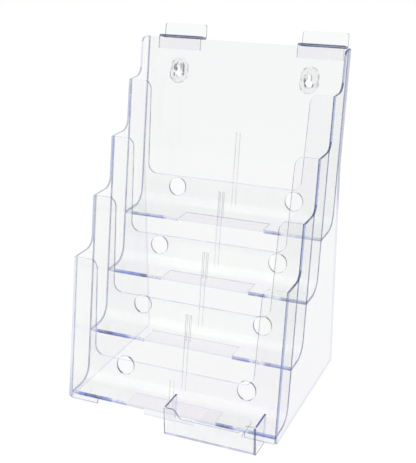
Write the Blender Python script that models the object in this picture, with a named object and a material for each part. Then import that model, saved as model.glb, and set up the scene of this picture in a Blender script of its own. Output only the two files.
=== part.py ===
"""Four-tier brochure rack in clear sheet, with a clip-on card holder and two slatwall hangers.

The stand is five bent sheets between two side panels. Each tier sheet is the front wall of one
pocket, runs on down as the back wall of the pocket below and bends forward as that pocket's floor.
X is the width (+X on the viewer's right), +Y runs from the front to the back, +Z is up, in metres.
"""

import math

import bmesh
import bpy

# Stand
WIDTH = 0.236
SHEET = 0.0024
TIERS = 4
TIER_STEP = 0.0446
TIER_RISE = 0.05375
LEAN = 0.177
FLOOR_LINE = 0.0071
WALL_HEIGHT = 0.1460
BEND_RADIUS = 0.0175
BACK_STEP = 0.0405
TOP_HEIGHT = 0.3546
REAR_DEPTH = 0.1885
FLANGE_DEPTH = 0.0140
STEP_RADIUS = 0.013
FLANGE_CORNER = 0.006
RIM_RADIUS = 0.0018
FRONT_FOOT_RADIUS = 0.0030
GAP = 0.0003

# Shallow recess along the front of each pocket's floor
RECESS_HALF = 0.050
RECESS_REACH = 0.0250
RECESS_DEPTH = 0.0012

# Openings in the sheets
CUT_TOP_HALF = 0.0910
CUT_BOTTOM_HALF = 0.0886
CUT_RISE = 0.0467
CUT_RADIUS = 0.0105
HOLE_SPREAD = 0.0701
HOLE_RISE = 0.0214
HOLE_RADIUS = 0.0102
KEYHOLE_SPREAD = 0.0762
KEYHOLE_HEIGHT = 0.3162
KEYHOLE_WIDE = 0.0045
KEYHOLE_NARROW = 0.0023
KEYHOLE_RISE = 0.0075
COLLAR_RIM = 0.0056
COLLAR_DEPTH = 0.0030

# Divider channels
RIB_SPREAD = 0.0022
RIB_WIDTH = 0.0012
RIB_DEPTH = 0.0016
RIB_FOOT = 0.0065
RIB_HEAD = 0.0897
FRONT_RIB_HEAD = 0.0340

# Front skirt
SKIRT_RISE = 0.0055
FOOT_INNER = 0.0835
CENTRE_FOOT_HALF = 0.0283
FOOT_RADIUS = 0.0012

# Card holder
CARD_CENTRE = 0.0559
CARD_WIDTH = 0.0982
CARD_DEPTH = 0.0250
CARD_HEIGHT = 0.0300
CARD_SHEET = 0.0020
CARD_EAR = 0.0108
CARD_SCOOP = 0.0096
CARD_SLANT = 0.0070
CARD_RADIUS = 0.0055
TONGUE_WIDTH = 0.0500
TONGUE_REACH = 0.0300
TONGUE_RADIUS = 0.0040

# Slatwall hangers
HANGER_WIDTH = 0.0506
HANGER_LEFT = -0.0768
HANGER_RIGHT = 0.0861
HANGER_SHEET = 0.0020
HANGER_DROP = 0.0119
HANGER_WEB = 0.0146
HANGER_SLOPE = 0.34
HANGER_RISE = 0.0144
HANGER_CREST = 0.0040
HANGER_BEND = 0.0016
HANGER_CORNER = 0.0030

# Cutters: how far one rises past an edge it must leave whole, and how far one runs out of a solid
CLEARING = 0.0012
OVERRUN = 0.012
# The depth of an added feature's root inside its sheet
ROOT = 0.0010
ARC_STEPS = 8
BEND_STEPS = 16
RIM_STEPS = 4
HOLE_STEPS = 40
SHARP_ANGLE = math.radians(25)
INNER_HALF = WIDTH / 2 - SHEET - GAP
TILT = math.atan(LEAN)
SHEET_ACROSS = SHEET / math.cos(TILT)


def clear_scene():
    for item in list(bpy.data.objects):
        bpy.data.objects.remove(item, do_unlink=True)


def material(name, colour, roughness, alpha):
    """A clear plastic with the given tint."""
    made = bpy.data.materials.new(name)
    made.use_nodes = True
    shader = made.node_tree.nodes["Principled BSDF"]
    shader.inputs["Base Color"].default_value = (*colour, 1.0)
    shader.inputs["Roughness"].default_value = roughness
    shader.inputs["Metallic"].default_value = 0.0
    shader.inputs["IOR"].default_value = 1.49
    shader.inputs["Alpha"].default_value = alpha
    return made


# Outlines


def rounded(corners):
    """A closed outline through (u, v, radius) corners, each rounded by an arc of its radius."""
    points = []
    count = len(corners)
    for index, (u, v, radius) in enumerate(corners):
        if radius <= 0.0:
            points.append((u, v))
            continue
        before = corners[index - 1]
        after = corners[(index + 1) % count]
        points.extend(corner_arc((before[0], before[1]), (u, v), (after[0], after[1]), radius))
    return points


def corner_arc(before, corner, after, radius):
    """The arc that rounds one corner, tangent to both of its sides."""
    into = unit(before[0] - corner[0], before[1] - corner[1])
    out = unit(after[0] - corner[0], after[1] - corner[1])
    half = math.acos(max(-1.0, min(1.0, into[0] * out[0] + into[1] * out[1]))) / 2
    middle = unit(into[0] + out[0], into[1] + out[1])
    reach = radius / math.sin(half)
    centre = (corner[0] + middle[0] * reach, corner[1] + middle[1] * reach)
    run = radius / math.tan(half)
    first = (corner[0] + into[0] * run, corner[1] + into[1] * run)
    last = (corner[0] + out[0] * run, corner[1] + out[1] * run)
    start = math.atan2(first[1] - centre[1], first[0] - centre[0])
    sweep = math.atan2(last[1] - centre[1], last[0] - centre[0]) - start
    sweep = (sweep + math.pi) % (2 * math.pi) - math.pi
    return [
        (
            centre[0] + radius * math.cos(start + sweep * step / ARC_STEPS),
            centre[1] + radius * math.sin(start + sweep * step / ARC_STEPS),
        )
        for step in range(ARC_STEPS + 1)
    ]


def unit(u, v):
    length = math.hypot(u, v)
    return u / length, v / length


def offset_path(path, distance):
    """An open path moved sideways by distance, to its left, with mitred corners."""
    moved = []
    for index, (u, v) in enumerate(path):
        sides = []
        if index > 0:
            sides.append(unit(u - path[index - 1][0], v - path[index - 1][1]))
        if index < len(path) - 1:
            sides.append(unit(path[index + 1][0] - u, path[index + 1][1] - v))
        along = unit(sum(side[0] for side in sides), sum(side[1] for side in sides))
        cosine = along[0] * sides[0][0] + along[1] * sides[0][1]
        moved.append((u - along[1] * distance / cosine, v + along[0] * distance / cosine))
    return moved


def strip(path, thickness):
    """The closed outline of a bent sheet, thickness to the left of its path."""
    return list(path) + offset_path(path, thickness)[::-1]


# Solids


def prism(name, outline, axis, low, high, look=None):
    """An outline in the two other axes, in alphabetical order, extruded along an axis."""
    place = {
        "X": lambda u, v, depth: (depth, u, v),
        "Y": lambda u, v, depth: (u, depth, v),
        "Z": lambda u, v, depth: (u, v, depth),
    }[axis]
    shape = bmesh.new()
    near = [shape.verts.new(place(u, v, low)) for u, v in outline]
    far = [shape.verts.new(place(u, v, high)) for u, v in outline]
    shape.faces.new(near)
    shape.faces.new(far[::-1])
    for index in range(len(outline)):
        after = (index + 1) % len(outline)
        shape.faces.new((near[after], near[index], far[index], far[after]))
    bmesh.ops.recalc_face_normals(shape, faces=shape.faces)
    mesh = bpy.data.meshes.new(name)
    shape.to_mesh(mesh)
    shape.free()
    made = bpy.data.objects.new(name, mesh)
    bpy.context.scene.collection.objects.link(made)
    if look is not None:
        mesh.materials.append(look)
    return made


def tool(made):
    """Marks a solid that only shapes another one."""
    made.hide_render = True
    made.display_type = "WIRE"
    return made


def shape_with(target, tools, operation):
    for index, made in enumerate(tools):
        tool(made)
        made.parent = target.parent
        modifier = target.modifiers.new(f"{operation.lower()}_{index}", "BOOLEAN")
        modifier.operation = operation
        modifier.solver = "EXACT"
        modifier.object = made


def smooth_rounds(made):
    """Shades bends and rounded corners smooth, and keeps the sheet's edges sharp."""
    made.data.shade_smooth()
    made.data.set_sharp_from_angle(angle=SHARP_ANGLE)


# Where the tiers are


def floor_line(tier):
    """(Y, Z) of the line where the top of a pocket's floor meets its front wall; tier 1 is the top one."""
    steps = TIERS - tier
    return steps * TIER_STEP, FLOOR_LINE + steps * TIER_RISE


def wall_face(tier, height):
    """Y of a front wall's front face at a height."""
    y, z = floor_line(tier)
    return y + LEAN * (height - z)


def inner_face(tier):
    """The function that gives the rear face of a front wall, which is its pocket's inner side."""
    return lambda height: wall_face(tier, height) + SHEET_ACROSS


def back_face(height):
    """Y of the back panel's front face at a height."""
    y, z = floor_line(1)
    return y + BACK_STEP + LEAN * (height - z)


def face_above_floor(tier):
    """The function that gives the back face of a pocket."""
    if tier == 1:
        return back_face
    return lambda height: wall_face(tier - 1, height)


def sheet_path(pocket, top):
    """A sheet's front face in Y and Z, from the pocket's floor edge back, up the bend and to top."""
    face = face_above_floor(pocket)
    floor_top = floor_line(pocket)[1]
    centre_z = floor_top + BEND_RADIUS
    centre_y = face(centre_z) - BEND_RADIUS / math.cos(TILT)
    front = wall_face(pocket, floor_top) + SHEET_ACROSS + GAP
    path = [(front, floor_top)]
    for step in range(BEND_STEPS + 1):
        angle = -math.pi / 2 + (math.pi / 2 - TILT) * step / BEND_STEPS
        path.append((centre_y + BEND_RADIUS * math.cos(angle), centre_z + BEND_RADIUS * math.sin(angle)))
    path.append((face(top), top))
    return path


# Cutters and additions


def finger_cut(tier):
    """Cutter for the wide finger opening that leaves a post at each end of a front wall."""
    line = floor_line(tier)[1]
    bottom, top = line + CUT_RISE, line + WALL_HEIGHT
    outline = scoop_outline(CUT_BOTTOM_HALF, bottom, CUT_TOP_HALF, top, CUT_RADIUS)
    low = wall_face(tier, bottom) - SHEET
    high = wall_face(tier, top) + 3 * SHEET
    return prism(f"finger_cut_{tier}", outline, "Y", low, high)


def scoop_outline(low_half, bottom, high_half, top, radius):
    """An opening from bottom up through the top edge, with its four corners rounded."""
    beyond = high_half + 2 * radius
    right = [
        (low_half, bottom, radius),
        (high_half, top, radius),
        (beyond, top + CLEARING, 0.0),
        (beyond, top + OVERRUN, 0.0),
    ]
    left = [(-u, v, rounding) for u, v, rounding in reversed(right)]
    return rounded(right + left)


def round_cut(name, x, height, y):
    """Cutter for a round hole through a back wall."""
    turns = [2 * math.pi * step / HOLE_STEPS for step in range(HOLE_STEPS)]
    outline = [(x + HOLE_RADIUS * math.cos(a), height + HOLE_RADIUS * math.sin(a)) for a in turns]
    return prism(name, outline, "Y", y - OVERRUN, y + OVERRUN)


def wall_holes(pocket):
    """Cutters for the two round holes low in a pocket's back wall."""
    height = floor_line(pocket)[1] + HOLE_RISE
    y = face_above_floor(pocket)(height)
    return [
        round_cut(f"round_cut_{pocket}_{side}", sign * HOLE_SPREAD, height, y)
        for side, sign in (("left", -1), ("right", 1))
    ]


def floor_recess(pocket):
    """Cutter for the recess along the front edge of a pocket's floor, which is thinner there."""
    y, z = floor_line(pocket)
    low, high = z - RECESS_DEPTH, z + 2 * SHEET
    outline = [(-RECESS_HALF, low), (RECESS_HALF, low), (RECESS_HALF, high), (-RECESS_HALF, high)]
    return prism(f"recess_cut_{pocket}", outline, "Y", y - CLEARING, y + RECESS_REACH)


def channel_ribs(pocket, face, head, depth, name):
    """The two ribs of a divider channel, standing depth proud of a face (negative is forward)."""
    z = floor_line(pocket)[1]
    low, high = z + RIB_FOOT, z + head
    root = -math.copysign(ROOT, depth)
    outline = [
        (face(low) + depth, low),
        (face(low) + root, low),
        (face(high) + root, high),
        (face(high) + depth, high),
    ]
    ribs = []
    for side, centre in (("left", -RIB_SPREAD), ("right", RIB_SPREAD)):
        ribs.append(prism(f"{name}_{side}", outline, "X", centre - RIB_WIDTH / 2, centre + RIB_WIDTH / 2))
    return ribs


def keyhole_outline(x, wide, narrow):
    """A round end with a narrower slot rising from it, closed by a half circle."""
    high = KEYHOLE_HEIGHT + KEYHOLE_RISE
    side = math.acos(narrow / wide)
    points = []
    for step in range(HOLE_STEPS + 1):
        angle = math.pi - side + (math.pi + 2 * side) * step / HOLE_STEPS
        points.append((x + wide * math.cos(angle), KEYHOLE_HEIGHT + wide * math.sin(angle)))
    for step in range(BEND_STEPS + 1):
        angle = math.pi * step / BEND_STEPS
        points.append((x + narrow * math.cos(angle), high + narrow * math.sin(angle)))
    return points


def keyhole(side, sign):
    """The raised collar of a keyhole, and the cutter of the keyhole itself."""
    x = sign * KEYHOLE_SPREAD
    rim = keyhole_outline(x, KEYHOLE_WIDE + COLLAR_RIM, KEYHOLE_NARROW + COLLAR_RIM)
    opening = keyhole_outline(x, KEYHOLE_WIDE, KEYHOLE_NARROW)
    collar = leaning_prism(f"collar_{side}", rim, -COLLAR_DEPTH, SHEET / 2)
    cutter = leaning_prism(f"keyhole_cut_{side}", opening, -OVERRUN, OVERRUN)
    return collar, cutter


def leaning_prism(name, outline, low, high):
    """A prism along Y between two depths from the back panel's front face, whose ends lean with it."""
    made = prism(name, outline, "Y", low, high)
    for vertex in made.data.vertices:
        vertex.co.y += back_face(vertex.co.z)
    return made


def skirt_cut(name, low, high):
    """Cutter that raises the skirt's lower edge between two feet."""
    corners = [
        (low, -CLEARING, 0.0),
        (high, -CLEARING, 0.0),
        (high, SKIRT_RISE, FOOT_RADIUS),
        (low, SKIRT_RISE, FOOT_RADIUS),
    ]
    return prism(name, rounded(corners), "Y", -OVERRUN, OVERRUN)


# Pieces of the stand


def side_outline():
    """The stepped side panel in Y and Z: base, rear edge, top, flange and one step per tier."""
    rear_face_at_base = back_face(0.0) + SHEET_ACROSS
    rear_meets = (REAR_DEPTH - rear_face_at_base) / LEAN
    corners = [
        (wall_face(TIERS, 0.0), 0.0, FRONT_FOOT_RADIUS),
        (REAR_DEPTH, 0.0, 0.0),
        (REAR_DEPTH, rear_meets, 0.0),
        (back_face(TOP_HEIGHT) + SHEET_ACROSS, TOP_HEIGHT, 0.0),
        (back_face(TOP_HEIGHT) - FLANGE_DEPTH, TOP_HEIGHT, FLANGE_CORNER),
    ]
    for tier in range(1, TIERS + 1):
        top = floor_line(tier)[1] + WALL_HEIGHT
        inner = back_face(top) - FLANGE_DEPTH if tier == 1 else wall_face(tier - 1, top)
        corners.append((inner, top, STEP_RADIUS))
        corners.append((wall_face(tier, top), top, 0.0))
    return rounded(corners)


def side_panel(name, sign, look):
    outer = sign * WIDTH / 2
    inner = outer - sign * SHEET
    made = prism(name, side_outline(), "X", min(outer, inner), max(outer, inner), look)
    round_outer_rim(made, outer)
    smooth_rounds(made)
    return made


def round_outer_rim(made, outer):
    """Rounds a side panel's outer rim, except along the base, by a bevel on the rim's edges."""
    weights = made.data.attributes.new("bevel_weight_edge", "FLOAT", "EDGE")
    for edge in made.data.edges:
        ends = [made.data.vertices[index].co for index in edge.vertices]
        on_rim = all(abs(end.x - outer) < GAP for end in ends)
        on_base = all(end.z < GAP for end in ends)
        weights.data[edge.index].value = 1.0 if on_rim and not on_base else 0.0
    bevel = made.modifiers.new("rim", "BEVEL")
    bevel.limit_method = "WEIGHT"
    bevel.width = RIM_RADIUS
    bevel.segments = RIM_STEPS


def back_panel(look):
    """The back sheet with its keyholes, which bends forward as the top pocket's floor."""
    outline = strip(sheet_path(1, TOP_HEIGHT), -SHEET)
    made = prism("back_panel", outline, "X", -INNER_HALF, INNER_HALF, look)
    collars, cutters = zip(keyhole("left", -1), keyhole("right", 1))
    ribs = channel_ribs(1, back_face, RIB_HEAD, -RIB_DEPTH, "back_rib")
    shape_with(made, list(collars) + ribs, "UNION")
    shape_with(made, list(cutters) + wall_holes(1) + [floor_recess(1)], "DIFFERENCE")
    smooth_rounds(made)
    return made


def tier_panel(name, tier, look):
    """A front wall that runs on down as the next pocket's back wall and floor."""
    top = floor_line(tier)[1] + WALL_HEIGHT
    pocket = tier + 1
    outline = strip(sheet_path(pocket, top), -SHEET)
    made = prism(name, outline, "X", -INNER_HALF, INNER_HALF, look)
    ribs = channel_ribs(pocket, face_above_floor(pocket), RIB_HEAD, -RIB_DEPTH, f"{name}_rib")
    ribs += channel_ribs(tier, inner_face(tier), FRONT_RIB_HEAD, RIB_DEPTH, f"{name}_inner_rib")
    shape_with(made, ribs, "UNION")
    shape_with(made, [finger_cut(tier), floor_recess(pocket)] + wall_holes(pocket), "DIFFERENCE")
    smooth_rounds(made)
    return made


def front_panel(look):
    """The lowest pocket's front wall, with a skirt that stands on three feet."""
    top = FLOOR_LINE + WALL_HEIGHT
    low = SHEET * math.sin(TILT)
    path = [(wall_face(TIERS, low), low), (wall_face(TIERS, top), top)]
    made = prism("front_panel", strip(path, -SHEET), "X", -INNER_HALF, INNER_HALF, look)
    ribs = channel_ribs(TIERS, inner_face(TIERS), FRONT_RIB_HEAD, RIB_DEPTH, "front_inner_rib")
    shape_with(made, ribs, "UNION")
    cuts = [
        finger_cut(TIERS),
        skirt_cut("skirt_cut_left", -FOOT_INNER, -CENTRE_FOOT_HALF),
        skirt_cut("skirt_cut_right", CENTRE_FOOT_HALF, FOOT_INNER),
    ]
    shape_with(made, cuts, "DIFFERENCE")
    smooth_rounds(made)
    return made


# Pieces that come off


def card_holder(look):
    """An open-backed tray for cards, whose tongue slides under the stand between two feet.

    Its rear lies against the leaning front wall. Its origin is the middle of its rear lower edge.
    """
    half = CARD_WIDTH / 2
    rear_low = wall_face(TIERS, 0.0) - GAP
    rear_high = wall_face(TIERS, CARD_HEIGHT) - GAP
    side = [(-CARD_DEPTH, 0.0), (rear_low, 0.0), (rear_high, CARD_HEIGHT), (-CARD_DEPTH, CARD_HEIGHT)]
    made = prism("card_holder", side, "X", -half, half, look)
    space, scoop, tongue = card_space(half), card_scoop(half), tongue_plate()
    shape_with(made, [space, scoop], "DIFFERENCE")
    shape_with(made, [tongue], "UNION")
    for solid in (made, space, scoop, tongue):
        solid.location.x = CARD_CENTRE
    smooth_rounds(made)
    return made


def card_space(half):
    """Cutter for the room inside the card holder, open at the back and the top."""
    front, rear = -CARD_DEPTH + CARD_SHEET, OVERRUN
    top = CARD_HEIGHT + OVERRUN
    outline = [(front, CARD_SHEET), (rear, CARD_SHEET), (rear, top), (front, top)]
    return prism("card_space", outline, "X", -half + CARD_SHEET, half - CARD_SHEET)


def card_scoop(half):
    """Cutter that lowers the card holder's front between its two ears."""
    high_half = half - CARD_EAR
    low_half = high_half - CARD_SLANT
    outline = scoop_outline(low_half, CARD_HEIGHT - CARD_SCOOP, high_half, CARD_HEIGHT, CARD_RADIUS)
    return prism("card_scoop", outline, "Y", -CARD_DEPTH - CARD_SHEET, -CARD_DEPTH + 2 * CARD_SHEET)


def tongue_plate():
    """The flat tongue that carries the card holder's floor back under the stand."""
    half = TONGUE_WIDTH / 2
    root = -3 * CARD_SHEET
    corners = [
        (-half, root, 0.0),
        (half, root, 0.0),
        (half, TONGUE_REACH, TONGUE_RADIUS),
        (-half, TONGUE_REACH, TONGUE_RADIUS),
    ]
    return prism("card_tongue", rounded(corners), "Z", 0.0, CARD_SHEET)


def hanger_path():
    """The hanger's outer face in Y and Z, from the front flap's lower edge to the rear flap's top.

    Y and Z are counted from the back panel's front face at its top edge.
    """
    clear = HANGER_SHEET / math.cos(TILT) + GAP
    crest_y = -clear + LEAN * HANGER_CREST
    low_y = -clear - LEAN * HANGER_DROP
    rear_y = crest_y + HANGER_WEB
    rear_z = web_end()
    corners = [
        (low_y, -HANGER_DROP),
        (crest_y, HANGER_CREST),
        (rear_y, rear_z),
        (rear_y + LEAN * HANGER_RISE, rear_z + HANGER_RISE),
    ]
    path = [corners[0]]
    path += corner_arc(corners[0], corners[1], corners[2], HANGER_BEND + HANGER_SHEET)
    path += corner_arc(corners[1], corners[2], corners[3], HANGER_BEND)
    path.append(corners[3])
    return path


def web_end():
    """Height of the web's rear end above the back panel's top edge."""
    return HANGER_CREST - HANGER_SLOPE * HANGER_WEB


def hanger(name, centre, look):
    """A slatwall hanger that slides along the back panel's top edge.

    Its origin is on that edge, at the middle of its width.
    """
    half = HANGER_WIDTH / 2
    made = prism(name, strip(hanger_path(), -HANGER_SHEET), "X", -half, half, look)
    made.location = (centre, back_face(TOP_HEIGHT), TOP_HEIGHT)
    trim = hanger_trim(name, half)
    trim.location = made.location
    shape_with(made, [trim], "INTERSECT")
    smooth_rounds(made)
    return made


def hanger_trim(name, half):
    """The hanger's outline from the front, with the rear flap's upper corners rounded."""
    bottom = -HANGER_DROP - OVERRUN
    top = web_end() + HANGER_RISE
    corners = [
        (-half, bottom, 0.0),
        (half, bottom, 0.0),
        (half, top, HANGER_CORNER),
        (-half, top, HANGER_CORNER),
    ]
    return prism(f"{name}_trim", rounded(corners), "Y", -OVERRUN, HANGER_WEB + OVERRUN)


def middle_depth():
    """Y of the middle of the whole rack, from the card holder's front to the hangers' rear flaps."""
    rear = back_face(TOP_HEIGHT) + max(y for y, z in strip(hanger_path(), -HANGER_SHEET))
    return (rear - CARD_DEPTH) / 2


def build():
    clear_scene()
    shell = material("clear_shell", (0.90, 0.92, 0.97), 0.04, 0.30)
    side = material("clear_side", (0.88, 0.90, 0.97), 0.04, 0.30)
    tray = material("clear_tray", (0.86, 0.88, 0.96), 0.05, 0.30)
    clip = material("clear_hanger", (0.80, 0.80, 0.88), 0.06, 0.40)
    stand = bpy.data.objects.new("stand", None)
    bpy.context.scene.collection.objects.link(stand)
    stand.location.y = -middle_depth()
    side_panel("side_panel_left", -1, side)
    side_panel("side_panel_right", 1, side)
    back_panel(shell)
    tier_panel("tier_panel_upper", 1, shell)
    tier_panel("tier_panel_middle", 2, shell)
    tier_panel("tier_panel_lower", 3, shell)
    front_panel(shell)
    card_holder(tray)
    hanger("hanger_left", HANGER_LEFT, clip)
    hanger("hanger_right", HANGER_RIGHT, clip)
    for made in bpy.data.objects:
        if made is not stand:
            made.parent = stand


build()
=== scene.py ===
"""The looks of the clear brochure rack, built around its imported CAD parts."""

import math

import bmesh
import bpy
from mathutils import Matrix, Vector


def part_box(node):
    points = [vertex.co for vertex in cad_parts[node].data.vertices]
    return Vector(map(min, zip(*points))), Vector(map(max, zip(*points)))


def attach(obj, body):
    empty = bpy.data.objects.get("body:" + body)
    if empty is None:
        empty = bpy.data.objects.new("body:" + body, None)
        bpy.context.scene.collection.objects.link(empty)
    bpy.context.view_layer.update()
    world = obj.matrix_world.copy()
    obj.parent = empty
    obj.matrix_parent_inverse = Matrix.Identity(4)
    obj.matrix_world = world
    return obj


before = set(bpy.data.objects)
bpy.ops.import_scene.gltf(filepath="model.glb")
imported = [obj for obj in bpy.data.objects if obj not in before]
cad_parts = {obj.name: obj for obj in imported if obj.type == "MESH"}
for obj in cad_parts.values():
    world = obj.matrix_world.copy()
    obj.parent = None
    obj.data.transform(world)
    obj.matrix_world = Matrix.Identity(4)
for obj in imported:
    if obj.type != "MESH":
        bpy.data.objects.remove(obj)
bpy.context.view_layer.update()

# The thickness of the stand's sheets, and half the width between its side panels
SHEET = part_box("side_panel_left")[1].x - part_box("side_panel_left")[0].x
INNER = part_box("side_panel_right")[0].x
# The slope of the leaning sheets: depth over height
LEAN = 0.177
# Keyholes: their distance from the middle, their round end's height and the slot's rise above it.
# A raised collar's faces lie within its reach of the keyhole.
KEYHOLE_SPREAD = 0.0762
KEYHOLE_HEIGHT = 0.3162
KEYHOLE_RISE = 0.0075
COLLAR_REACH = 0.0104
# Distances from the middle: the finger openings' lower edges and the divider channels' ribs lie
# nearer than theirs, and the sheets' ends lie further out than theirs
OPENING_HALF = 0.080
CHANNEL_HALF = 0.004
ENDS_START = INNER - 0.001
# Pocket floors: half the recess's width, its depth, where the line along the front edge starts beside
# it, and how far back that line goes. What is lower than FLOOR_TOP above the edge is on the floor.
RECESS_HALF = 0.050
RECESS_DEPTH = 0.0012
BAR_START = RECESS_HALF + 0.001
BAR_DEPTH = 0.0014
FLOOR_TOP = SHEET * 1.05
# The radii of the beads of cement: in the seams and under the floors' front edges
BOND_RADIUS = 0.00032
FILLET_RADIUS = 0.0009
# Faces are told apart by the parts of their normals, without the signs. A bent sheet's faces with
# more than SIDEWAYS of X are cut edges, and those with more than LEVEL of Z are level. A side
# panel's faces with less than BROAD of X are its rim.
SIDEWAYS = 0.35
LEVEL = 0.93
BROAD = 0.94
# How near a face is to a height or a place to count as lying there
NEAR = 0.0003

# Camera: its direction from the rack, its tilt, its distance, what it looks at, its lens in mm
AZIMUTH = math.radians(23.41)
ELEVATION = math.radians(20.75)
ROLL = math.radians(-0.29)
DISTANCE = 0.98055
LOOK_AT = Vector((0.0062, -0.0099, 0.1767))
LENS = 73.13

# Light and floor. The sky has one strength as light and another in reflections; the camera sees white.
SKY = (0.96, 0.97, 1.0)
SKY_LIGHT = 0.92
SKY_REFLECTED = 1.05
WHITE = (1.0, 1.0, 1.0)
# Each lamp's place, size and power
LAMPS = {
    "key_light": ((-0.9, -1.1, 1.6), 2.0, 10.0),
    "rim_light": ((1.1, 0.9, 1.3), 1.6, 6.0),
}
FLOOR_HALF = 6.0
FLOOR_DROP = 0.0004
FLOOR_GREY = (0.06, 0.06, 0.06)
FLOOR_ROUGHNESS = 0.9
FLOOR_GLOW = 0.945

# Colours, as linear RGB. A clear face clouds from its tint into its cloud.
SHELL_TINT = (0.978, 0.982, 0.978)
SHELL_CLOUD = (0.975, 0.973, 0.980)
BAND_TINT = (0.960, 0.961, 0.963)
BACK_TINT = (0.952, 0.961, 0.954)
BACK_CLOUD = (0.952, 0.954, 0.957)
LEFT_TINT = (0.979, 0.981, 0.981)
LEFT_CLOUD = (0.977, 0.975, 0.981)
RIGHT_TINT = (0.957, 0.958, 0.963)
RIGHT_CLOUD = (0.957, 0.954, 0.965)
HANGER_TINT = (0.968, 0.958, 0.972)
HANGER_CLOUD = (0.962, 0.953, 0.968)
REAR_FLAP_TINT = (0.972, 0.974, 0.974)
RECESS_TINT = (0.955, 0.935, 0.968)
# Edges and lines
SLATE = (0.22, 0.25, 0.38)
DEEP = (0.08, 0.12, 0.35)
NAVY = (0.09, 0.11, 0.22)
PERIWINKLE = (0.27, 0.33, 0.79)
LILAC = (0.62, 0.58, 0.80)
INK = (0.04, 0.05, 0.12)
SMOKE = (0.24, 0.25, 0.29)
# The dark of the painted shade in the arcs around the keyholes
KEYHOLE_SHADE = (0.09, 0.095, 0.12)
# What shows through a cut edge, and through a floor's front edge, where they don't glow
EDGE_CLEAR = (0.90, 0.91, 0.96)
BAR_CLEAR = (0.95, 0.96, 0.99)
# A polished face's roughness, and the strength, depth and size of its ripples
POLISH = 0.12
RIPPLE = 0.35
RIPPLE_DEPTH = 0.0006
RIPPLE_SIZE = 0.035
# Each sheet's tint and cloud, and how dark its recess's outline and its floor's front edge are
LOOKS = {
    "back_panel": (BACK_TINT, BACK_CLOUD, 0.45, 0.50),
    "tier_panel_upper": (SHELL_TINT, SHELL_CLOUD, 0.26, 0.72),
    "tier_panel_middle": (SHELL_TINT, SHELL_CLOUD, 0.14, 0.80),
    "tier_panel_lower": (SHELL_TINT, SHELL_CLOUD, 0.05, 0.88),
}


# Fields: numbers over a surface, made from math nodes


class Field:
    """A number at every point of a surface.

    & and | are the lesser and the greater of two fields. A mask is a field of 0 and 1, and masks are
    combined with &, | and ~.
    """

    def __init__(self, tree, socket):
        self.tree = tree
        self.socket = socket

    def math(self, operation, other=None):
        node = self.tree.nodes.new("ShaderNodeMath")
        node.operation = operation
        self.tree.links.new(self.socket, node.inputs[0])
        if isinstance(other, Field):
            self.tree.links.new(other.socket, node.inputs[1])
        elif other is not None:
            node.inputs[1].default_value = other
        return Field(self.tree, node.outputs[0])

    def __add__(self, other):
        return self.math("ADD", other)

    def __sub__(self, other):
        return self.math("SUBTRACT", other)

    def __mul__(self, other):
        return self.math("MULTIPLY", other)

    def __or__(self, other):
        return self.math("MAXIMUM", other)

    def __and__(self, other):
        return self.math("MINIMUM", other)

    def __invert__(self):
        return self.math("MULTIPLY", -1.0).math("ADD", 1.0)

    def __gt__(self, limit):
        return self.math("GREATER_THAN", limit)

    def __lt__(self, limit):
        return self.math("LESS_THAN", limit)

    def __pow__(self, exponent):
        return self.math("POWER", exponent)

    def __abs__(self):
        return self.math("ABSOLUTE")

    def ramp(self, low, high, start=0.0, end=1.0):
        """A smooth change from start, where the field is low, to end, where it is high."""
        node = self.tree.nodes.new("ShaderNodeMapRange")
        node.interpolation_type = "SMOOTHSTEP"
        self.tree.links.new(self.socket, node.inputs["Value"])
        node.inputs["From Min"].default_value = low
        node.inputs["From Max"].default_value = high
        node.inputs["To Min"].default_value = start
        node.inputs["To Max"].default_value = end
        return Field(self.tree, node.outputs["Result"])


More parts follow.
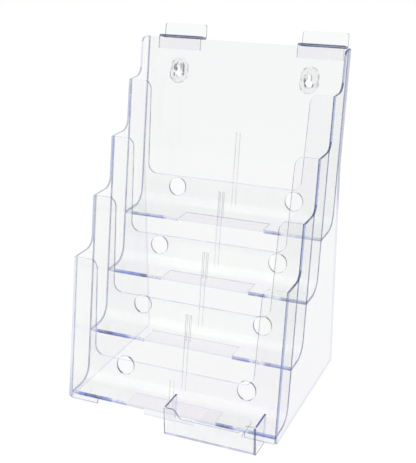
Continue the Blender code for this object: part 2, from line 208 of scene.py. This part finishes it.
class Surface:
    """The fields and shaders that every plastic here is made from."""

    def __init__(self, name):
        self.material = bpy.data.materials.new(name)
        self.material.use_nodes = True
        self.tree = self.material.node_tree
        self.tree.nodes.clear()
        self.geometry = self.tree.nodes.new("ShaderNodeNewGeometry")
        self.place = self.tree.nodes.new("ShaderNodeTexCoord").outputs["Object"]
        self.x, self.y, self.z = self.split(self.place)
        # The normal's parts without their signs, and how far it points right and towards the front
        normal = self.split(self.geometry.outputs["True Normal"])
        self.nx, self.ny, self.nz = (abs(part) for part in normal)
        outward = Field(self.tree, self.geometry.outputs["Backfacing"]) * -2.0 + 1.0
        self.rightward = normal[0] * outward
        self.ahead = normal[1] * outward * -1.0
        self.facing = self.looking()

    def split(self, socket):
        """The X, Y and Z of a vector, as fields."""
        node = self.tree.nodes.new("ShaderNodeSeparateXYZ")
        self.tree.links.new(socket, node.inputs[0])
        return [Field(self.tree, output) for output in node.outputs]

    def looking(self):
        """1 where the surface faces the viewer, 0 where it is seen edge-on."""
        node = self.tree.nodes.new("ShaderNodeVectorMath")
        node.operation = "DOT_PRODUCT"
        self.tree.links.new(self.geometry.outputs["Normal"], node.inputs[0])
        self.tree.links.new(self.geometry.outputs["Incoming"], node.inputs[1])
        return abs(Field(self.tree, node.outputs["Value"]))

    def noise(self, size, detail=2.0):
        """Smooth noise from 0 to 1, whose features are about size across."""
        node = self.tree.nodes.new("ShaderNodeTexNoise")
        node.inputs["Scale"].default_value = 1.0 / size
        node.inputs["Detail"].default_value = detail
        self.tree.links.new(self.place, node.inputs["Vector"])
        return Field(self.tree, node.outputs["Fac"])

    def blend(self, factor, first, second):
        """A colour that goes from first to second with a field."""
        node = self.tree.nodes.new("ShaderNodeMix")
        node.data_type = "RGBA"
        self.tree.links.new(factor.socket, node.inputs["Factor"])
        colour_inputs = [socket for socket in node.inputs if socket.type == "RGBA"]
        for colour, socket in zip((first, second), colour_inputs):
            if isinstance(colour, tuple):
                socket.default_value = (*colour, 1.0)
            else:
                self.tree.links.new(colour, socket)
        return next(socket for socket in node.outputs if socket.type == "RGBA")

    def ripple(self, shader):
        """Gives a glossy shader the faint ripples that heat leaves in a bent sheet."""
        bump = self.tree.nodes.new("ShaderNodeBump")
        bump.inputs["Strength"].default_value = RIPPLE
        bump.inputs["Distance"].default_value = RIPPLE_DEPTH
        self.tree.links.new(self.noise(RIPPLE_SIZE, 1.0).socket, bump.inputs["Height"])
        self.tree.links.new(bump.outputs["Normal"], shader.inputs["Normal"])

    def shader(self, kind, colour, roughness=None):
        """A shader node of one colour, which is a tuple or another node's output."""
        node = self.tree.nodes.new(kind)
        if isinstance(colour, tuple):
            node.inputs["Color"].default_value = (*colour, 1.0)
        else:
            self.tree.links.new(colour, node.inputs["Color"])
        if roughness is not None:
            node.inputs["Roughness"].default_value = roughness
        return node

    def mix(self, factor, first, second):
        """A shader that goes from first to second with a field."""
        node = self.tree.nodes.new("ShaderNodeMixShader")
        self.tree.links.new(factor.socket, node.inputs[0])
        self.tree.links.new(first.outputs[0], node.inputs[1])
        self.tree.links.new(second.outputs[0], node.inputs[2])
        return node

    def finish(self, shader):
        """Ends the material with a shader and returns it."""
        output = self.tree.nodes.new("ShaderNodeOutputMaterial")
        self.tree.links.new(shader.outputs[0], output.inputs["Surface"])
        return self.material


# Plastics


def clear_face(surface, tint, cloud):
    """A polished face: see-through, faintly clouded, and dark only where it is seen edge-on, partly from
    the longer path through its tint and partly by painted shade.
    """
    colour = surface.blend(surface.noise(0.09).ramp(0.42, 0.62), tint, cloud)
    # Seen edge-on, a face turns slate: partly the longer path through its tint, partly painted shade in
    # place of what it reflects at a grazing angle
    edge_on_tint_and_shade = surface.facing.ramp(0.02, 0.17, 0.55, 0.0)
    colour = surface.blend(edge_on_tint_and_shade, colour, SLATE)
    through = surface.shader("ShaderNodeBsdfTransparent", colour)
    polish = surface.shader("ShaderNodeBsdfAnisotropic", WHITE, POLISH)
    surface.ripple(polish)
    mirror = surface.facing.ramp(0.0, 0.8, 0.08, 0.035)
    return surface.mix(mirror, through, polish)


def banded_face(surface, tint, cloud, band):
    """A polished face that is a little greyer where band is 1."""
    return surface.mix(band, clear_face(surface, tint, cloud), clear_face(surface, BAND_TINT, BAND_TINT))


def cut_edge(surface, first, second, cover):
    """A sawn and flame-polished edge, where the sheet's light comes out in streaks of two colours."""
    streaks = surface.noise(0.016, 3.0).ramp(0.35, 0.65)
    glow = surface.shader("ShaderNodeBsdfDiffuse", surface.blend(streaks, first, second))
    clear = surface.shader("ShaderNodeBsdfTransparent", EDGE_CLEAR)
    return surface.mix(streaks.ramp(0.0, 1.0, 0.80, 1.0) * cover, clear, glow)


def coated(surface, shader, mask, first, second, cover):
    """A shader with an edge's look over it where the mask is 1."""
    return surface.mix(mask, shader, cut_edge(surface, first, second, cover))


def bar_edge(surface, cover):
    """A pocket floor's front edge: light blue with a few deep blue flecks, clear where cover is 0."""
    flecks = surface.noise(0.012, 2.0).ramp(0.48, 0.64)
    glow = surface.shader("ShaderNodeBsdfDiffuse", surface.blend(flecks, PERIWINKLE, DEEP))
    clear = surface.shader("ShaderNodeBsdfTransparent", BAR_CLEAR)
    return surface.mix(cover, clear, glow)


def stretch(x, start, end, strength):
    """A dark stretch from start to end, which begins more sharply than it ends."""
    return x.ramp(start, start + 0.002) * x.ramp(end - 0.004, end, strength, 0.0)


def bar_strength(surface):
    """How dark a floor's front edge is along its length: dark stretches between pale, broken ones."""
    x = surface.x
    left = stretch(x, -0.109, -0.066, 1.0)
    middle = stretch(x, RECESS_HALF, 0.072, 0.85)
    right = x.ramp(0.084, 0.088, 0.0, 0.70)
    # Noise makes the dark stretches uneven along the edge
    mottle = surface.noise(0.013, 2.0).ramp(0.35, 0.60, 0.62, 1.0)
    flecks = surface.noise(0.0035, 1.0).ramp(0.45, 0.60, 0.0, 0.30)
    beside_recess = abs(x).ramp(RECESS_HALF, BAR_START)
    return ((left | middle | right) * mottle | flecks) * beside_recess + 0.10


def keyhole_fields(surface):
    """The sideways distance from the nearer keyhole's middle, and the distance from its slot's line."""
    beside = abs(abs(surface.x) - KEYHOLE_SPREAD)
    over = surface.z - KEYHOLE_HEIGHT
    above_round = over - KEYHOLE_RISE
    reach = (over & 0.0) + (above_round | 0.0)
    return beside, (beside * beside + reach * reach) ** 0.5


def keyhole_look(surface, shader):
    """A shader with painted shade over it: dark, broken arcs around the keyholes and near their collars'
    rims.
    """
    beside, distance = keyhole_fields(surface)
    collar = distance < COLLAR_REACH
    inner = distance.ramp(0.0046, 0.0062, 0.72, 0.0)
    outer = distance.ramp(0.0082, 0.0094, 0.0, 0.24)
    # Painted shade: the arcs are darkest at their sides and fade out at their tops and bottoms, and a
    # faint shade lies over the whole collar
    broken = surface.noise(0.0060, 1.0).ramp(0.44, 0.60) * beside.ramp(0.0015, 0.0040)
    arcs = broken * (inner | outer) + 0.035
    return surface.mix(collar * arcs, shader, surface.shader("ShaderNodeBsdfDiffuse", KEYHOLE_SHADE))


def sheet_material(name, look, low):
    """A bent sheet whose floor's front edge is at low; its cut edges are blue-grey."""
    tint, cloud, recess_cover, bar_cover = look
    surface = Surface(name)
    above = surface.z - low.z
    across = abs(surface.x)
    behind_bar = surface.y > low.y + BAR_DEPTH
    on_floor = above < FLOOR_TOP
    sideways = surface.nx > SIDEWAYS
    level = surface.nz > LEVEL
    collar = keyhole_fields(surface)[1] < COLLAR_REACH

    band = above.ramp(0.026, 0.034) * above.ramp(0.056, 0.072, 1.0, 0.0)
    shader = banded_face(surface, tint, cloud, band)
    in_recess = level & (abs(above - (SHEET - RECESS_DEPTH)) < NEAR)
    shader = surface.mix(in_recess, shader, surface.shader("ShaderNodeBsdfTransparent", RECESS_TINT))
    upper_edge = level & (above > 0.006)
    shader = coated(surface, shader, upper_edge, SLATE, SLATE, 0.6)
    shader = coated(surface, shader, upper_edge & (across < OPENING_HALF), LILAC, SLATE, 0.26)
    # Painted shade: the openings' cut edges that face sideways get a dark coat, darkest low on the sheet
    shaded_opening_sides = sideways & (across > CHANNEL_HALF) & (across < ENDS_START) & ~on_floor & ~collar
    shader = coated(surface, shader, shaded_opening_sides, SLATE, INK, above.ramp(0.035, 0.045, 0.85, 0.55))
    ends = sideways & (across > ENDS_START)
    shader = coated(surface, shader, ends, SLATE, DEEP, surface.x.ramp(-0.1, 0.1, 0.42, 0.62))
    ribs = (surface.rightward > SIDEWAYS) & (across < CHANNEL_HALF)
    shader = coated(surface, shader, ribs, SLATE, INK, above.ramp(0.050, 0.062, 0.30, 0.45))
    recess_step = on_floor & (across < RECESS_HALF + NEAR) & behind_bar & (surface.nz < 0.5)
    shader = coated(surface, shader, recess_step, PERIWINKLE, SLATE, recess_cover)
    shader = keyhole_look(surface, shader)
    bar = on_floor & ~behind_bar & ~sideways
    return surface.finish(surface.mix(bar, shader, bar_edge(surface, bar_strength(surface) * bar_cover)))


def front_material(name):
    """The front sheet: its level edges are faint, except beside the opening and at the outer feet."""
    surface = Surface(name)
    across = abs(surface.x)
    band = surface.z.ramp(0.018, 0.036, 1.0, 0.0)
    shader = banded_face(surface, SHELL_TINT, SHELL_CLOUD, band)
    level_cover = across.ramp(OPENING_HALF, OPENING_HALF + 0.005, 0.16, 0.45)
    shader = coated(surface, shader, surface.nz > LEVEL, LILAC, SLATE, level_cover)
    upright = (surface.nx > SIDEWAYS) & (across > 0.035)
    shader = coated(surface, shader, upright, SLATE, DEEP, 0.55)
    ribs = (surface.rightward > SIDEWAYS) & (across < CHANNEL_HALF)
    return surface.finish(coated(surface, shader, ribs, SLATE, LILAC, 0.40))


def panel_edges(surface):
    """A side panel's front edges and its others, and the steps among the front ones, as masks."""
    edge = surface.nx < BROAD
    front = edge & (surface.ahead > -0.2) & (surface.z > 0.001)
    return front, edge & ~front, front & (surface.nz > 0.30)


def left_panel_material(name):
    """The left side panel: its front edges are pale at the top, and on the lowest tier above its foot."""
    surface = Surface(name)
    front, rear, steps = panel_edges(surface)
    shader = clear_face(surface, LEFT_TINT, LEFT_CLOUD)
    shader = coated(surface, shader, rear, SLATE, LILAC, 0.10)
    depth = surface.y - surface.z * LEAN
    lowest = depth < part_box("front_panel")[0].y + 0.012
    foot = lowest * surface.z.ramp(0.0, 0.050, 0.45, 0.0)
    upper = (~lowest) * 0.45 * surface.z.ramp(0.300, 0.325, 1.0, 0.25)
    shader = coated(surface, shader, front, SLATE, PERIWINKLE, upper + foot + 0.10)
    return surface.finish(coated(surface, shader, steps, INK, NAVY, 0.45))


def right_panel_material(name):
    """The right side panel: its front edges are dark, their inner corners and the steps darkest; the
    inner corners' dark is painted shade.
    """
    surface = Surface(name)
    front, rear, steps = panel_edges(surface)
    shader = clear_face(surface, RIGHT_TINT, RIGHT_CLOUD)
    shader = coated(surface, shader, rear, SLATE, LILAC, surface.z.ramp(0.17, 0.20, 0.10, 0.60))
    shader = coated(surface, shader, front, SLATE, PERIWINKLE, 0.60)
    # Painted shade in the inner corners of the front edges
    inner_corner_shade = front & (surface.x < INNER + 0.0009)
    shader = coated(surface, shader, inner_corner_shade, NAVY, SLATE, 0.72)
    return surface.finish(coated(surface, shader, steps, INK, NAVY, 0.85))


def tray_material(name, low, high):
    """The card holder: its rims are dark, its front's lower and side edges slate."""
    surface = Surface(name)
    # A little more than the thickness of its walls
    wall = 0.0021
    middle = (low.x + high.x) / 2
    beside = surface.x - middle
    raised = surface.z > low.z + 0.005
    behind_front = surface.y > low.y + wall
    faces_front_or_back = surface.ny > 0.6
    outer_front = faces_front_or_back & (surface.y < low.y + 0.0005)

    shader = clear_face(surface, SHELL_TINT, SHELL_CLOUD)
    rear = faces_front_or_back & (surface.y > low.y + 0.015) & raised
    shader = coated(surface, shader, rear, SLATE, LILAC, 0.25)
    scoop = ~behind_front & ((surface.nx > 0.15) | (surface.nz > 0.5)) & raised
    scoop = scoop & (abs(beside) < (high.x - low.x) / 2 - wall)
    shader = coated(surface, shader, scoop, INK, SLATE, beside.ramp(-0.036, -0.030, 0.85, 0.30))
    rim = (surface.nz > 0.5) & raised & behind_front
    shader = coated(surface, shader, rim, INK, DEEP, 0.92)
    foot = outer_front & (surface.z < low.z + 0.0027)
    foot_cover = surface.x.ramp(low.x + 0.006, low.x + 0.012, 0.92, 0.68)
    shader = coated(surface, shader, foot, SLATE, LILAC, foot_cover)
    left_corner = outer_front & (surface.x < low.x + 0.0013)
    shader = coated(surface, shader, left_corner, INK, SLATE, surface.z.ramp(0.010, 0.020, 0.75, 0.45))
    right_corner = outer_front & (surface.x > high.x - 0.0024)
    shader = coated(surface, shader, right_corner, INK, DEEP, 0.80)
    under_side = (surface.nx > 0.6) & (surface.z < low.z + 0.0014) & (surface.x > middle)
    return surface.finish(coated(surface, shader, under_side, INK, SLATE, 0.75))


def hanger_material(name, top):
    """A hanger on an edge whose height is top: its sloping web, nearly edge-on to the front, is dark with
    painted shade.
    """
    surface = Surface(name)
    # The web's slope is between these, and the flaps' ends are more level
    web_slope = 0.30
    level_slope = 0.965
    front_flap = surface.z < top
    rear_face = clear_face(surface, REAR_FLAP_TINT, REAR_FLAP_TINT)
    shader = surface.mix(front_flap, rear_face, clear_face(surface, HANGER_TINT, HANGER_CLOUD))
    edge = (surface.nx > 0.5) | (surface.nz > level_slope)
    shader = coated(surface, shader, edge, SMOKE, SMOKE, 0.78)
    web = (surface.nz > web_slope) & (surface.nz < level_slope)
    # Painted shade on the web, darkest where it is seen edge-on
    web_shade = surface.facing.ramp(0.2, 0.8, 0.92, 0.30)
    return surface.finish(coated(surface, shader, web, INK, SLATE, web_shade))


def bond_material(name):
    """Set solvent cement in a seam."""
    surface = Surface(name)
    return surface.finish(cut_edge(surface, SLATE, DEEP, 0.30))


def fillet_material(name, cover):
    """Set cement under a floor's front edge, dark and pale in the same places as the edge."""
    surface = Surface(name)
    return surface.finish(bar_edge(surface, bar_strength(surface) * cover))


def set_material(node, made):
    """Gives a CAD node a material."""
    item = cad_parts[node]
    if not item.material_slots:
        item.data.materials.append(made)
    for slot in item.material_slots:
        slot.material = made


# Bonds


def end_loop(node, side):
    """The outline of a sheet's left (-1) or right (1) end, as points in Y and Z, in order."""
    mesh = bmesh.new()
    mesh.from_mesh(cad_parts[node].data)
    same = 1e-6
    bmesh.ops.remove_doubles(mesh, verts=mesh.verts, dist=same)
    low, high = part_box(node)
    end = high.x if side > 0 else low.x
    caps = {face for face in mesh.faces if all(abs(vert.co.x - end) < same for vert in face.verts)}
    rim = [edge for edge in mesh.edges if sum(face in caps for face in edge.link_faces) == 1]
    beside = {}
    for edge in rim:
        for vert in edge.verts:
            beside.setdefault(vert.index, []).append(edge.other_vert(vert))
    loop = [rim[0].verts[0]]
    previous = None
    for _ in rim[1:]:
        here = loop[-1]
        loop.append(next(vert for vert in beside[here.index] if vert is not previous))
        previous = here
    points = [(vert.co.y, vert.co.z) for vert in loop]
    mesh.free()
    return points


def bead(name, points, radius, made, closed=False):
    """A round bead of cement along a line of points, on the stand."""
    curve = bpy.data.curves.new(name, "CURVE")
    curve.dimensions = "3D"
    curve.bevel_depth = radius
    curve.bevel_resolution = 2
    spline = curve.splines.new("POLY")
    spline.points.add(len(points) - 1)
    for target, point in zip(spline.points, points):
        target.co = (*point, 1.0)
    spline.use_cyclic_u = closed
    curve.use_fill_caps = not closed
    item = bpy.data.objects.new(name, curve)
    bpy.context.scene.collection.objects.link(item)
    curve.materials.append(made)
    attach(item, "stand")


def build_bonds():
    """The cement in the seams between the sheets' ends and the side panels."""
    bond = bond_material("bond_clear")
    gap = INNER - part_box("back_panel")[1].x
    for node in LOOKS:
        for side, word in ((-1, "left"), (1, "right")):
            x = side * (INNER - gap / 2)
            points = [(x, y, z) for y, z in end_loop(node, side)]
            bead(f"bond_{node}_{word}", points, BOND_RADIUS, bond, closed=True)


def build_fillets():
    """The cement under the pocket floors' front edges, a little paler than the edges."""
    for node, (_, _, _, bar_cover) in LOOKS.items():
        made = fillet_material(f"fillet_{node}_clear", bar_cover * 0.8)
        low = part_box(node)[0]
        for side, word in ((-1, "left"), (1, "right")):
            ends = [side * BAR_START, side * (INNER - FILLET_RADIUS)]
            points = [(x, low.y + FILLET_RADIUS / 2, low.z - FILLET_RADIUS / 2) for x in sorted(ends)]
            bead(f"fillet_{node}_{word}", points, FILLET_RADIUS, made)


# Lights, floor and camera


def build_world():
    """White to the camera, a little less bright as light, and brightest in reflections."""
    world = bpy.data.worlds.new("studio")
    bpy.context.scene.world = world
    world.use_nodes = True
    tree = world.node_tree
    tree.nodes.clear()
    path = tree.nodes.new("ShaderNodeLightPath")
    shader = background(tree, SKY, SKY_LIGHT)
    for rays, strength in (("Is Glossy Ray", SKY_REFLECTED), ("Is Camera Ray", 1.0)):
        mix = tree.nodes.new("ShaderNodeMixShader")
        tree.links.new(path.outputs[rays], mix.inputs[0])
        tree.links.new(shader.outputs[0], mix.inputs[1])
        tree.links.new(background(tree, WHITE, strength).outputs[0], mix.inputs[2])
        shader = mix
    output = tree.nodes.new("ShaderNodeOutputWorld")
    tree.links.new(shader.outputs[0], output.inputs["Surface"])


def background(tree, colour, strength):
    """A world shader of one colour."""
    node = tree.nodes.new("ShaderNodeBackground")
    node.inputs["Color"].default_value = (*colour, 1.0)
    node.inputs["Strength"].default_value = strength
    return node


def build_floor():
    """A wide floor that is nearly white by its own light, so that shadows on it are faint."""
    half = FLOOR_HALF
    mesh = bpy.data.meshes.new("floor")
    corners = [(-half, -half, 0.0), (half, -half, 0.0), (half, half, 0.0), (-half, half, 0.0)]
    mesh.from_pydata(corners, [], [(0, 1, 2, 3)])
    floor = bpy.data.objects.new("floor", mesh)
    floor.location.z = -FLOOR_DROP
    bpy.context.scene.collection.objects.link(floor)
    made = bpy.data.materials.new("pale_floor")
    made.use_nodes = True
    shader = next(node for node in made.node_tree.nodes if node.type == "BSDF_PRINCIPLED")
    shader.inputs["Base Color"].default_value = (*FLOOR_GREY, 1.0)
    shader.inputs["Roughness"].default_value = FLOOR_ROUGHNESS
    shader.inputs["Specular IOR Level"].default_value = 0.0
    shader.inputs["Emission Color"].default_value = (*WHITE, 1.0)
    shader.inputs["Emission Strength"].default_value = FLOOR_GLOW
    mesh.materials.append(made)


def area_light(name, place, size, power):
    """A soft round lamp that points at the rack."""
    data = bpy.data.lights.new(name, "AREA")
    data.shape = "DISK"
    data.size = size
    data.energy = power
    light = bpy.data.objects.new(name, data)
    light.location = place
    light.rotation_mode = "QUATERNION"
    light.rotation_quaternion = (LOOK_AT - Vector(place)).to_track_quat("-Z", "Y")
    bpy.context.scene.collection.objects.link(light)


def build_camera():
    """A camera that looks at the rack from the front right, a little from above."""
    back = Vector((
        math.sin(AZIMUTH) * math.cos(ELEVATION),
        -math.cos(AZIMUTH) * math.cos(ELEVATION),
        math.sin(ELEVATION),
    ))
    level = (-back).cross(Vector((0.0, 0.0, 1.0))).normalized()
    upright = level.cross(-back)
    right = level * math.cos(ROLL) + upright * math.sin(ROLL)
    up = upright * math.cos(ROLL) - level * math.sin(ROLL)
    data = bpy.data.cameras.new("camera")
    data.lens = LENS
    camera = bpy.data.objects.new("camera", data)
    bpy.context.scene.collection.objects.link(camera)
    turn = Matrix((right, up, back)).transposed()
    camera.matrix_world = Matrix.Translation(LOOK_AT + back * DISTANCE) @ turn.to_4x4()
    bpy.context.scene.camera = camera


def build():
    for node, look in LOOKS.items():
        set_material(node, sheet_material(f"{node}_plastic", look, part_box(node)[0]))
    set_material("front_panel", front_material("front_plastic"))
    set_material("side_panel_left", left_panel_material("side_panel_left_plastic"))
    set_material("side_panel_right", right_panel_material("side_panel_right_plastic"))
    set_material("card_holder", tray_material("tray_plastic", *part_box("card_holder")))
    for node in ("hanger_left", "hanger_right"):
        set_material(node, hanger_material(f"{node}_plastic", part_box("back_panel")[1].z))
    build_bonds()
    build_fillets()
    build_world()
    build_floor()
    for name, lamp in LAMPS.items():
        area_light(name, *lamp)
    build_camera()
    scene = bpy.context.scene
    scene.view_settings.view_transform = "Standard"
    # A sight line crosses up to twenty clear faces, and Cycles lets eight through unless told
    scene.cycles.transparent_max_bounces = 64


build()
